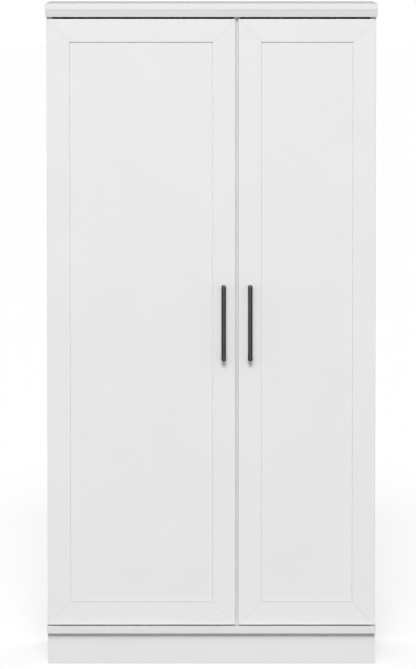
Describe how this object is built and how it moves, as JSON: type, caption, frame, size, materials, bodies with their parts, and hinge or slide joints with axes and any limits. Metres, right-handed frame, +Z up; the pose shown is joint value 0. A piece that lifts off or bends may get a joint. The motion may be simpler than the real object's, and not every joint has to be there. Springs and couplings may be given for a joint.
{
  "type": "pantry cabinet",
  "caption": "Tall white pantry cabinet with a wide and a narrow framed door, dark bar handles, shelves in both bays and a recessed plinth.",
  "frame": {"origin": "centre of the cabinet's bounding box at the floor, door handles included", "axes": "+X to the right as seen from the front, +Y to the back, +Z up; the doors face -Y"},
  "size_m": [0.9, 0.452, 1.8],
  "materials": {
    "case_white": "satin white laminate on particle board, edge-banded",
    "inside_white": "satin white laminate on particle board",
    "door_white": "smooth satin white foil on fibreboard, mitred frame",
    "back_board": "white-faced hardboard",
    "handle_black": "satin dark powder coat",
    "hinge_steel": "nickel-plated pressed steel",
    "screw_steel": "zinc-plated steel",
    "bumper_clear": "clear silicone"
  },
  "bodies": {
    "case": {"left_side_panel": "case_white", "right_side_panel": "case_white", "centre_partition": "inside_white", "top_panel": "case_white", "top_moulding_front": "case_white", "top_moulding_left": "case_white", "top_moulding_right": "case_white", "top_rail_rear": "inside_white", "top_rail_centre": "inside_white", "bottom_panel": "case_white", "toe_kick_front": "case_white", "plinth_side_left": "case_white", "plinth_side_right": "case_white", "plinth_rear": "case_white", "plinth_centre": "case_white", "back_panel_left": "back_board", "back_panel_right": "back_board", "left_shelf_fixed": "inside_white", "left_shelf_lower": "inside_white", "left_shelf_middle": "inside_white", "left_shelf_upper": "inside_white", "right_shelf_fixed": "inside_white", "right_shelf_lower": "inside_white", "right_shelf_middle": "inside_white", "right_shelf_upper": "inside_white", "left_door_hinge_arm_bottom": "hinge_steel", "left_door_hinge_arm_middle": "hinge_steel", "left_door_hinge_arm_top": "hinge_steel", "right_door_hinge_arm_bottom": "hinge_steel", "right_door_hinge_arm_middle": "hinge_steel", "right_door_hinge_arm_top": "hinge_steel"},
    "left_door": {"left_door_stile_left": "door_white", "left_door_stile_right": "door_white", "left_door_rail_top": "door_white", "left_door_rail_bottom": "door_white", "left_door_panel": "door_white", "left_door_handle": "handle_black", "left_door_handle_screw_bottom": "screw_steel", "left_door_handle_screw_top": "screw_steel", "left_door_bumper_bottom": "bumper_clear", "left_door_bumper_top": "bumper_clear", "left_door_hinge_cup_bottom": "hinge_steel", "left_door_hinge_cup_middle": "hinge_steel", "left_door_hinge_cup_top": "hinge_steel"},
    "right_door": {"right_door_stile_left": "door_white", "right_door_stile_right": "door_white", "right_door_rail_top": "door_white", "right_door_rail_bottom": "door_white", "right_door_panel": "door_white", "right_door_handle": "handle_black", "right_door_handle_screw_bottom": "screw_steel", "right_door_handle_screw_top": "screw_steel", "right_door_bumper_bottom": "bumper_clear", "right_door_bumper_top": "bumper_clear", "right_door_hinge_cup_bottom": "hinge_steel", "right_door_hinge_cup_middle": "hinge_steel", "right_door_hinge_cup_top": "hinge_steel"}
  },
  "joints": [
    {"name": "left_door_hinge", "type": "hinge", "parent": "case", "child": "left_door", "pos_m": [-0.4405, -0.183, 0.933], "axis": [0, 0, -1], "range_deg": [0, 95]},
    {"name": "right_door_hinge", "type": "hinge", "parent": "case", "child": "right_door", "pos_m": [0.4405, -0.183, 0.933], "axis": [0, 0, 1], "range_deg": [0, 95]}
  ]
}
